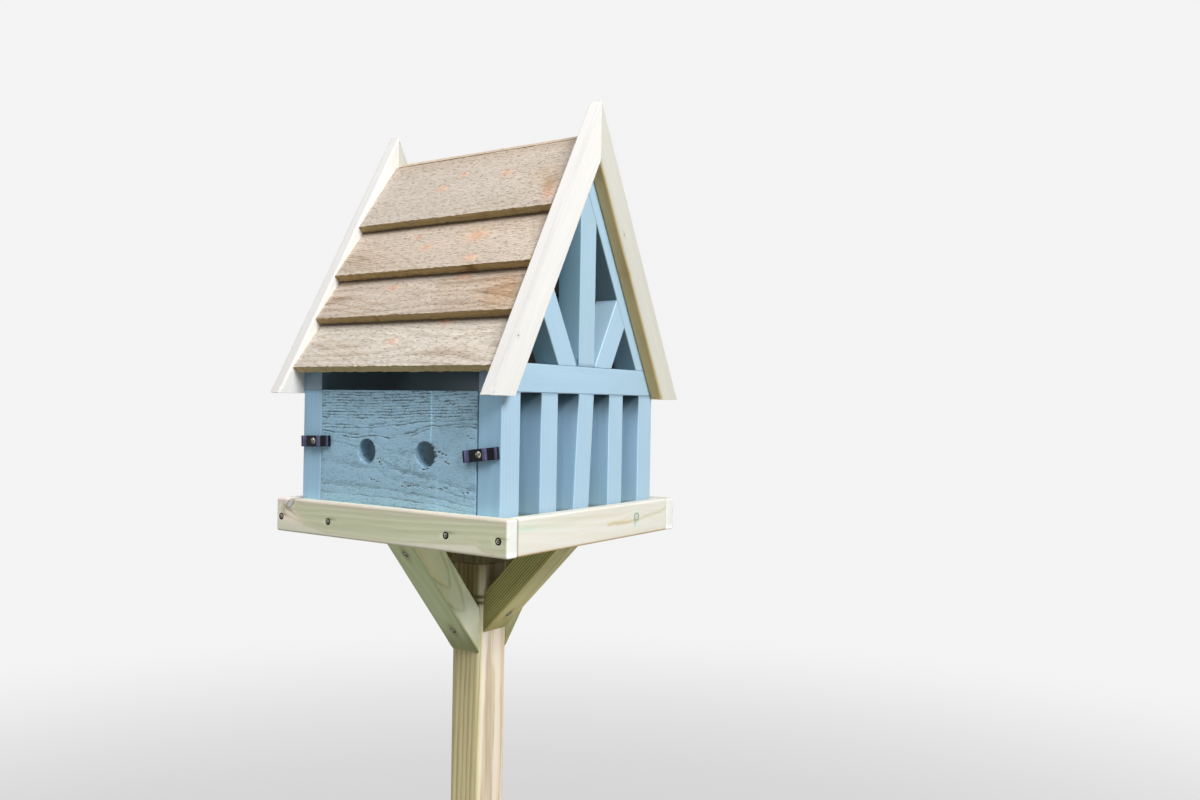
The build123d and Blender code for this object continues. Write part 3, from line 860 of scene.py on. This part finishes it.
def shade_ends(batten, node):
    """Darkens the joints, and paints light and shade on the left and right faces as far as their neighbours
    shade them: lighter sides on the posts and bars with the beam's shadow at their tops, and shade under the
    rafters.
    """
    for end in (-1, 1):
        batten.tint(JOINT_SHADE, (end * batten.size[0] / 2, 0, 0), (0.0016, 0, 0))
    top = batten.size[0] / 2 if batten.ways[0].z > 0 else -batten.size[0] / 2
    for side, facing, under in (("right", LEFT, UNDER_LEFT), ("left", -LEFT, UNDER_RIGHT)):
        if not node.startswith("bars") and not node.endswith(side):
            continue
        if node.startswith(("bars", "corner")):
            # Painted light on the sides of the posts and bars, with the beam's painted shadow at their tops.
            batten.tint((1.16, 1.26, 1.34), facing=facing)
            batten.tint((0.18, 0.19, 0.17), (top, 0, 0), (0.024, 0, 0), facing)
        # Painted shade under the rafters.
        if node.startswith("rafter"):
            batten.tint((0.42, 0.44, 0.42), facing=under)


frame_paint = paint_finish("frame_paint", PAINT, 0.06, 0.00012)
for node in FRAME_NODES:
    battens = timbers_of(node, 0.0006, 0.005, 0.0044, 0.0044)
    for number, batten in enumerate(battens):
        chance = random.Random(f"{node} {number}")
        heart = (chance.uniform(-0.03, 0.03), chance.choice((-1, 1)) * chance.uniform(0.04, 0.07))
        batten.lay_grain(heart, 0.0048, 0.006)
        shade_ends(batten, node)
        if node.startswith(("tie", "king", "struts", "rafter")):
            batten.tint(INSIDE_SHADE, facing=FRONT if "rear" in node else -FRONT)
        batten.tint_all(FRAME_SHADES.get(node, ()))
        if node == "king_post_front":
            # Painted shade on the king post's left face, towards the back and upwards.
            back = [Vector((0, 0.02, 0.06)).dot(way) for way in batten.ways]
            reach = [abs(way.z) * 0.12 + abs(way.y) * 0.024 for way in batten.ways]
            batten.tint((0.36, 0.54, 0.58), back, reach, LEFT)
        if node == "tie_beam_rear":
            # Painted shade on the inner face of the rear tie beam.
            batten.tint((0.34, 0.38, 0.36), (0.03, 0, 0), (0.18, 0, 0), FRONT)
        batten.wear(0.00016, (9.0, 150.0), 0.00006)
    show_timbers(node, battens, frame_paint)


# The panels: one rough-sawn board a side, painted like the frame. The left one lifts out. It has two
# bored holes, and its sawn face tore along the grain in its upper third. The other has none.
HOLE_RADIUS = 0.016
HOLES = ((0.0493, -0.0025), (-0.0507, -0.0025))
CHIPPED_HOLE = HOLES[1]
CHIP_REACH = 0.0034
CHIP_ANGLES = (-2.3, 1.0)
TORN_BAND = ((-0.135, 0.046), (-0.067, 0.0425), (0, 0.04), (0.07, 0.0385), (0.135, 0.0385))
MIDDLE_LINE = ((-0.135, 0.0415), (-0.067, 0.0375), (0, 0.0315), (0.05, 0.0265), (0.135, 0.0262))
LOW_LINE = ((-0.135, 0.032), (-0.11, 0.0328), (-0.067, 0.029), (-0.019, 0.0172), (0.006, 0.0158),
            (0.037, 0.0178), (0.071, 0.0134), (0.1, 0.016), (0.135, 0.019))
CURVED_LINE = ((-0.135, -0.044), (-0.06, -0.033), (-0.02, -0.029), (0.005, -0.023), (0.024, -0.012),
               (0.03, -0.002), (0.135, 0.01))
FAINT_LINE = ((-0.135, -0.062), (-0.05, -0.053), (0.03, -0.048), (0.135, -0.05))
BAND_ROW = 2.0
SEAM_TOP = -0.0612
SEAM_FOOT = -0.0725
PAINT_RIDGE = 0.00025
GROOVE_DEPTH = 0.0011
PIT_DEPTH = 0.0014
PIT_RUNS = (  # from one place to another, and how many pits lie between
    ((-0.0103, -0.0436), (-0.0409, -0.0418), 9), ((-0.0594, -0.0427), (-0.0941, -0.0406), 11),
    ((-0.1155, 0.0222), (-0.127, 0.0186), 4), ((-0.0705, -0.003), (-0.093, -0.014), 8),
    ((-0.11, -0.044), (-0.124, -0.045), 4), ((0.03, -0.01), (0.02, -0.023), 5),
    ((0.045, -0.036), (0.025, -0.04), 5), ((-0.064, 0.009), (-0.069, -0.005), 7),
    ((-0.069, -0.005), (-0.06, -0.0175), 6), ((-0.058, -0.018), (-0.046, -0.02), 4),
    ((-0.072, 0.002), (-0.086, -0.001), 5),
)

sawn_paint = paint_finish("sawn_paint", srgb(171, 213, 238), 0.12, 0.0002, 0.5, True)


def rows_at(along):
    """The lines that the torn grain follows at a place along the lift-out panel: the height and the
    number of each, and how badly it is torn."""
    low, middle, band = (curve(line, along) for line in (LOW_LINE, MIDDLE_LINE, TORN_BAND))
    return (
        (-0.08, -9.0, 0.1),
        (curve(FAINT_LINE, along), -6.0, 0.3),
        (curve(CURVED_LINE, along), -4.0, 0.45),
        (low, -2.0, 1.0),
        (low + 0.0028, -1.0, 0.8),
        (middle, 0.0, 1.0),
        (middle + 0.0027, 1.0, 0.6),
        (band, BAND_ROW, 1.0),
        (band + 0.0364, 12.0, 1.0),
    )


def torn_at(along, across, rows):
    """Which row of torn grain a place on the lift-out panel is in, and how badly it is torn."""
    across += 0.0016 * noise.noise((along * 15.0, across * 30.0, 3.0))
    across += 0.0008 * noise.noise((along * 110.0, across * 260.0, 0.0))
    for (low, start, low_torn), (high, end, high_torn) in zip(rows, rows[1:]):
        if across <= high:
            break
    row = start + (end - start) * (across - low) / (high - low)
    near_low = max(0.0, 1.0 - abs(across - low) / 0.0042) * low_torn
    near_high = max(0.0, 1.0 - abs(across - high) / 0.0026) * high_torn
    return row, 1.0 if start == BAND_ROW else min(1.0, 0.12 + max(near_low, near_high))


def pit_at(along, across):
    """How deep in the small pits a place is: 1 in the middle of one, 0 at its rim and less outside."""
    depth = -1.0
    for run, (start, end, count) in enumerate(PIT_RUNS):
        chance = random.Random(run)
        for number in range(count):
            share = (number + chance.uniform(0.1, 0.9)) / count
            pit_along = start[0] + (end[0] - start[0]) * share
            pit_across = start[1] + (end[1] - start[1]) * share + chance.uniform(-0.0012, 0.0012)
            size = chance.uniform(0.7, 1.3)
            away = math.hypot((along - pit_along) / (0.0017 * size), (across - pit_across) / (0.0009 * size))
            depth = max(depth, 1.0 - away)
    return depth


def work_panel(panel, outer, torn):
    """Works the sawn face of a panel, stippled by the saw in patches, and torn in rows if it is the one
    that lifts out: outer is the side of it that faces out of the house."""
    layers = panel.surface.verts.layers
    torn_layer, seam_layer, pit_layer = [layers.float.new(name) for name in ("torn", "seam", "pit")]
    tint, rings = panel.tints(), layers.float["rings"]
    rows = {}
    for vert, (along, across, through) in panel.places():
        facing = vert.normal.dot(panel.ways[2]) * outer
        sawn = 0.5 + 0.5 * noise.noise((along * 75.0, across * 330.0, through * 20.0))
        stippled = clamp(noise.noise((along * 16.0, across * 30.0, 8.0)) * 1.3 + 0.45)
        dent = stippled * clamp((noise.noise((along * 150.0, across * 420.0, 5.0)) - 0.12) * 3.0)
        sink, shade = 0.00014 * sawn + 0.0003 * dent, 1.0 - 0.1 * dent
        vert[seam_layer] = math.copysign(9.0, along - SEAM_TOP)
        vert[torn_layer] = 0.5 * stippled
        vert[pit_layer] = -1.0
        if facing > 0.5 and torn:
            if round(along, 5) not in rows:
                rows[round(along, 5)] = rows_at(along)
            row, tear = torn_at(along, across, rows[round(along, 5)])
            pit = pit_at(along, across)
            seam = SEAM_TOP if across > -0.002 else SEAM_FOOT
            seam += 0.0007 * noise.noise((across * 40.0, 0.0, 0.0)) + 25.0 * max(0.0, across - 0.067) ** 2
            vert[seam_layer] = (along - seam) / (0.0021 if across > 0.012 else 0.0001)
            ridge = max(0.0, 1.0 - abs(along - seam) / 0.003) if across > 0.012 or across < -0.019 else 0.0
            dash = clamp(noise.noise((along * 48.0, round(row) * 5.3, 1.0)) * 1.6 + 0.7)
            place = (row + 0.5) % 1.0 - 0.5
            groove = max(0.0, 1.0 - abs(place - 0.1) / 0.26) * tear * dash
            vert[rings] = row
            vert[torn_layer] = max(vert[torn_layer], tear * dash)
            vert[pit_layer] = pit
            sink += PAINT_RIDGE * (1.0 - ridge) + GROOVE_DEPTH * groove + PIT_DEPTH * max(0.0, pit)
            # The dents and grooves are darkened: painted shade.
            shade += (0.0 if across > 0.0 else 0.16 * ridge) - 0.2 * groove
        vert.co -= vert.normal * sink
        vert[tint] = [value * max(0.2, shade) for value in vert[tint]]


def chip_hole(panel, hole):
    """Breaks the wood away round the right and lower edge of a hole on the outer face."""
    first, last = CHIP_ANGLES
    for vert, (along, across, through) in panel.places():
        off_along, off_across = along - hole[0], across - hole[1]
        reach = math.hypot(off_along, off_across)
        angle = math.atan2(off_across, -off_along)
        if reach > HOLE_RADIUS + CHIP_REACH or through > -0.0035 or not first < angle < last:
            continue
        chip = noise.noise((angle * 7.5, 2.0, 0.0)) + 0.8 * noise.noise((angle * 19.0, 5.0, 0.0)) + 0.25
        bite = max(0.0, chip) * max(0.0, 1.0 - max(0.0, reach - HOLE_RADIUS) / 0.0036)
        outward = (panel.ways[0] * off_along + panel.ways[1] * off_across) / max(reach, 1e-6)
        vert.co += (panel.ways[2] * 0.0042 + outward * 0.0016) * bite


def shade_bores(panel):
    """Darkens the upper walls of the holes, where no light comes."""
    tint = panel.tints()
    for vert, (along, across, through) in panel.places():
        for hole in HOLES:
            reach = math.hypot(along - hole[0], across - hole[1])
            if reach < HOLE_RADIUS + 0.002 and through > -0.0084:
                high = (across - hole[1]) / HOLE_RADIUS
                tint_vertex(vert, tint, (0.45, 0.47, 0.48), clamp(high * 0.9 + 0.15))


for node, outer, torn in (("door_panel", -1, True), ("side_panel", 1, False)):
    along, across = (0.0024, 0.0009) if torn else (0.0034, 0.002)
    (panel,) = timbers_of(node, 0.0005, along, across, 0.003)
    panel.lay_grain((0.05, 0.12), 0.006, 0.008)
    panel.tint(INSIDE_SHADE, facing=panel.ways[2] * -outer)
    work_panel(panel, outer, torn)
    if torn:
        chip_hole(panel, CHIPPED_HOLE)
        shade_bores(panel)
    show_timbers(node, [panel], sawn_paint)


# The roof: four rough-sawn boards a side, each lapping the one below, left bare outside and in. They
# were sawn through and through, so their faces show wavy rings and the ends of small branches.
ROOF_EARLY = srgb(221, 206, 188)
ROOF_LATE = srgb(146, 116, 84)
ROOF_KNOT_CORE = srgb(226, 176, 146)
ROOF_KNOT_RIM = srgb(206, 138, 104)
ROOF_EDGE = (0.92, 0.8, 0.46)
ROOF_BLUSH = (1.1, 0.9, 0.8, 0.4)
ROOF_UNDERSIDE_SHADE = (0.45, 0.43, 0.4)
LAP_SHADE = (0.42, 0.38, 0.34)
BOLD_RINGS = (0.98, 0.96, 0.94, 2.6)
RING_LINE = (0.87, 0.8, 0.72)
BROWN_RING_LINE = (0.8, 0.68, 0.56)
ROOF_BOARDS = {  # the heart line, the rings' width, how they wander, and the knots
    "left_1": ((0.09, 0.05), 0.0022, 0.006,
               ((-0.0617, 0.0132, 0.004), (0.0171, 0.022, 0.003), (0.0456, 0.0, 0.0035))),
    "left_2": ((0.07, 0.06), 0.0028, 0.01, ((-0.0562, 0.0058, 0.0065), (0.0226, -0.0082, 0.0032),
                                             (0.0514, 0.0143, 0.0024), (-0.0678, -0.0353, 0.0036))),
    "left_3": ((-0.03, 0.085), 0.003, 0.016, ((0.054, 0.001, 0.0032), (-0.0613, 0.0121, 0.0035))),
    "left_4": ((-0.02, 0.09), 0.0028, 0.014, ((0.014, -0.0078, 0.003), (-0.0602, 0.0226, 0.0034))),
    "right_1": ((0.012, -0.08), 0.004, 0.01, ((0.08, -0.012, 0.006),)),
    "right_2": ((-0.008, -0.09), 0.0045, 0.012, ((-0.04, 0.008, 0.005), (0.11, -0.02, 0.004))),
    "right_3": ((0.015, -0.1), 0.0042, 0.012, ((0.02, -0.006, 0.007),)),
    "right_4": ((0, -0.085), 0.005, 0.014, ((-0.09, -0.014, 0.005), (0.05, 0.015, 0.004))),
}
ROOF_WAVES = {  # a line of the rings, how many follow it, and the step from each to the next
    "left_1": (
        (((0, -0.048), (-0.05, -0.04), (-0.09, -0.029), (-0.13, -0.013), (-0.165, 0.001)),
         5, (-0.012, -0.009)),
    ),
    "left_2": (
        (((0.168, 0.016), (0.12, 0.006), (0.08, -0.01), (0.045, -0.028), (0.015, -0.048)),
         5, (0.01, -0.0105)),
        (((-0.165, 0.012), (-0.13, 0.008), (-0.1, 0.013), (-0.06, 0.018), (-0.02, 0.014)),
         4, (0.004, 0.008)),
    ),
    "left_3": (
        (((-0.168, -0.046), (-0.152, -0.041), (-0.138, -0.045), (-0.118, -0.04), (-0.09, -0.043),
          (-0.04, -0.041)), 8, (0.003, 0.0075)),
        (((0.168, -0.01), (0.14, -0.012), (0.1, -0.02), (0.05, -0.03)), 3, (0.004, -0.01)),
    ),
    "left_4": (
        (((0.168, 0.008), (0.13, -0.002), (0.095, -0.014), (0.06, -0.028), (0.03, -0.046)),
         5, (0.01, -0.0105)),
        (((-0.168, 0.026), (-0.13, 0.012), (-0.1, -0.003), (-0.07, -0.02), (-0.05, -0.04)),
         5, (-0.008, -0.011)),
    ),
}
ROOF_STAINS = {
    "left_1": (
        ((0.87, 0.9, 0.95, 0.5),),
        ((1.12, 0.84, 0.72), (-0.154, -0.038, 0), (0.009, 0.014, 0)),
        ((0.74, 0.6, 0.46), (-0.146, -0.02, 0), (0.01, 0.014, 0)),
        ((0.92, 0.84, 0.74), (-0.13, 0.002, 0), (0.03, 0.018, 0)),
    ),
    "left_2": (
        ((0.91, 0.91, 0.92, 0.5),),
        (BOLD_RINGS, (0.12, -0.03, 0), (0.04, 0.016, 0)),
        (BOLD_RINGS, (0.155, -0.015, 0), (0.03, 0.014, 0)),
        ((1.16, 1.14, 1.12), (-0.07, -0.038, 0), (0.01, 0.007, 0)),
    ),
    "left_3": (
        ((0.85, 0.85, 0.87, 0.5),),
        (BOLD_RINGS, (-0.11, 0, 0), (0.065, 0.05, 0)),
        (BOLD_RINGS, (0.15, 0, 0), (0.03, 0.03, 0)),
        ((0.96, 0.82, 0.66), (-0.142, -0.018, 0), (0.03, 0.03, 0)),
    ),
    "left_4": (
        ((0.97, 1.03, 1.1, 0.5),),
        (BOLD_RINGS, (0.09, -0.025, 0), (0.04, 0.012, 0)),
        (BOLD_RINGS, (-0.1, -0.03, 0), (0.06, 0.012, 0)),
    ),
}
RIGHT_STAINS = (((0.95, 0.95, 0.95, 0.5),),)


def shade_board(board, board_name, knots):
    """Stains a roof board's edges and knots, and paints shade on its underside and under the board above it.
    """
    under = board.ways[2] * (1 if board.middle.x < 0 else -1)
    low_edge = -board.size[1] / 2
    board.tint(ROOF_EDGE, facing=-board.ways[1])
    # The underside is darkened: painted shade inside the roof.
    board.tint(ROOF_UNDERSIDE_SHADE, facing=under)
    board.tint((1.1, 1.1, 1.1), (0, low_edge, 0), (0, 0.0022, 0), -under)
    # Painted shade near the upper edge, under the board that laps it.
    board.tint((0.9, 0.84, 0.78), (0, -low_edge, 0), (0, 0.02, 0))
    board.tint((0.72, 0.62, 0.5), (-0.17, 0, 0), (0.0025, 0, 0))
    if board_name == "left_2":
        board.tint((0.6, 0.46, 0.36), (-0.072, -0.05, 0), (0.01, 0, 0), -board.ways[1])
    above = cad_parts.get(f"roof_board_{board_name[:-1]}{int(board_name[-1]) - 1}")
    if above:
        lap = min(board.spot(corner.co).y for corner in above.data.vertices)
        board.tint(LAP_SHADE, (0, lap, 0), (0, 0.0028, 0))
    for along, across, radius in knots:
        board.tint(ROOF_BLUSH, (along, across, 0), (radius * 3.4, radius * 1.9, 0))


def draw_waves(board, board_name):
    """Draws the lines of the rings that were cut through, one after another."""
    colour = BROWN_RING_LINE if board_name == "left_3" else RING_LINE
    for wave, number, (step_along, step_across) in ROOF_WAVES.get(board_name, ()):
        for count in range(number):
            swing = random.Random(count + 7).uniform(-0.0015, 0.0015)
            moved = (step_along * count, step_across * count + swing)
            line = [(along + moved[0], across + moved[1]) for along, across in wave]
            board.stain_line(line, 0.0011, colour)


roof_wood = wood_finish("roof_wood", ROOF_EARLY, ROOF_LATE, 0.6, 0.85, 0.0005, 0.42, 0.24,
                        ROOF_KNOT_CORE, ROOF_KNOT_RIM, 0.9, 0.32, 0.32)
for board_name, (heart, ring, wander, knots) in ROOF_BOARDS.items():
    spacing = 0.0026 if board_name.startswith("left") else 0.0032
    (board,) = timbers_of(f"roof_board_{board_name}", 0.0005, spacing, 0.0024, 0.004)
    board.lay_grain(heart, ring, wander, knots)
    board.tint_all(ROOF_STAINS.get(board_name, RIGHT_STAINS))
    shade_board(board, board_name, knots)
    draw_waves(board, board_name)
    board.wear(0.00035, (55.0, 420.0), 0.00022)
    board.fray(1, -1, 0.0022, 170.0)
    board.fray(1, -1, 0.0008, 620.0)
    show_timbers(f"roof_board_{board_name}", [board], roof_wood)


# The bargeboards: planed softwood, almost white, with rounded arrises and a plumb mitre at the apex.
# They are nailed to the rafters, through the ends of the roof boards' overhang.
BARGE_EARLY = srgb(239, 238, 235)
BARGE_LATE = srgb(224, 219, 204)
BARGE_FACE = 0.0095
BARGE_FOOT_SHADE = (0.82, 0.76, 0.62)
NAIL_STAIN = (0.8, 0.75, 0.66)
NAIL_RADIUS = 0.001
BARGE_NAILS = {
    "bargeboard_front_left": (-0.1344, -0.0125),
    "bargeboard_front_right": (0.045, -0.0086),
    "bargeboard_rear_left": (-0.14, 0.003),
    "bargeboard_rear_right": (0.03, 0.005),
}
RIGHT_BARGE_STAINS = (
    ((0.79, 0.79, 0.74, 1.9),),
    ((0.87, 0.86, 0.8), (0, 0, -0.0195), (0, 0, 0.004)),
    ((1.07, 0.81, 0.45), UNDER_LEFT),
    ((0.94, 0.86, 0.74), (-0.0062, 0, -0.0195), (0.005, 0, 0.005)),
)

barge_wood = wood_finish("barge_wood", BARGE_EARLY, BARGE_LATE, 0.4, fibre_share=0.12, broad_share=0.1,
                         blur=0.8)
bright_nail = metal_finish("bright_nail", srgb(150, 140, 120), 0.45, srgb(110, 70, 40))
nails = bmesh.new()
for node, (along, through) in BARGE_NAILS.items():
    (board,) = timbers_of(node, 0.0003, 0.004, 0.0024, 0.0028)
    board.lay_grain((0.06, 0.045), 0.0024, 0.006)
    outward = -1 if "front" in node else 1
    foot = (-board.size[0] / 2, 0, 0)
    if "right" in node:
        board.tint_all(RIGHT_BARGE_STAINS)
        board.tint((1.08, 1.08, 1.05), foot, (0.12, 0, 0))
    else:
        # The upper arris and the faces that turn up to the left are darkened: painted shade.
        upper = math.copysign(board.size[2] / 2, board.ways[2].z)
        face = math.copysign(board.size[1] / 2, board.ways[1].y * outward)
        board.tint((0.66, 0.66, 0.68), (0, face, upper), (0, 0.0024, 0.0024))
        board.tint((0.94, 0.93, 0.94), facing=SLOPE_LEFT)
    board.tint(BARGE_FOOT_SHADE, foot, (0.012, 0, 0), -UP)
    board.tint(NAIL_STAIN, (along, outward * BARGE_FACE, through), (0.003, 0.004, 0.0022))
    face_at = Vector((0, outward * (BARGE_FACE + HEAD_PROUD), 0))
    place = board.middle + board.ways[0] * along + board.ways[2] * through + face_at
    add_head(nails, place, Vector((0, outward, 0)), NAIL_RADIUS, dome=0.0002, cross=False)
    board.wear(0.00015, (9.0, 160.0), 0.00005)
    board.fray(0, -1, 0.001, 420.0)
    show_timbers(node, [board], barge_wood)
show("barge_nails", nails, bright_nail)


# The turn-buttons: black moulded plastic, with a thick boss round the screw and a thin arm that ends
# in a lip. Each turns on a plated cross-head screw and holds the lift-out panel in.
BUTTON_NODES = ("turn_button_front", "turn_button_rear")
BUTTON_DARK = srgb(3, 4, 10)
BUTTON_LIGHT = srgb(11, 12, 24)
BUTTON_SLOPES = ((0.05, 0.16), (0.61, 0.72), (0.9, 1.0))
SLOPE_HIGHLIGHT = (50.0, 46.0, 34.0)
FLAT_HIGHLIGHT = 0.03
BUTTON_SCREW_OUT = -0.1735
BUTTON_SCREW_RADIUS = 0.0042
BUTTON_SCREW_DOME = 0.0009
BUTTON_SCREWS = ((-0.142, 1.356, 0.5), (0.142, 1.3625, 0.2))

black_plastic, principled, shade = new_finish("black_plastic")
place = shade.node("TexCoord", output="Object")
grime = place.noise((160.0, 160.0, 160.0), 3.0, 0.6)
scratch = place.noise((60.0, 900.0, 300.0), 2.0, 0.6)
shade.feed(principled, {
    "Base Color": grime.between(BUTTON_DARK, BUTTON_LIGHT).tinted(),
    "Roughness": scratch * 0.14 + 0.22,
    "Normal": grime.bump(0.0001),
    "Specular IOR Level": 0.16,
})
for node in BUTTON_NODES:
    (button,) = timbers_of(node, 0.0004, 0.0008, 0.0035, 0.0035)
    # The slopes that face left are made much lighter than the flats: a painted highlight on the moulding.
    tint = button.surface.verts.layers.float_color.new("tint")
    for vert in button.surface.verts:
        place = 0.5 - button.spot(vert.co).x / button.size[0]
        sloping = vert.normal.x < -0.4 and any(start < place < end for start, end in BUTTON_SLOPES)
        lit = 1.0 if sloping else FLAT_HIGHLIGHT
        vert[tint] = (*(1.0 + lit * highlight for highlight in SLOPE_HIGHLIGHT), 1.0)
    show(f"{node}_moulding", button.surface, black_plastic, node, node)

bright_screw = metal_finish("bright_screw", srgb(206, 200, 190), 0.25, srgb(150, 138, 116))
button_screws = bmesh.new()
for along, height, turn in BUTTON_SCREWS:
    place = Vector((BUTTON_SCREW_OUT, along, height))
    add_head(button_screws, place, LEFT, BUTTON_SCREW_RADIUS, turn, BUTTON_SCREW_DOME)
show("button_screw_heads", button_screws, bright_screw, node="button_screws")
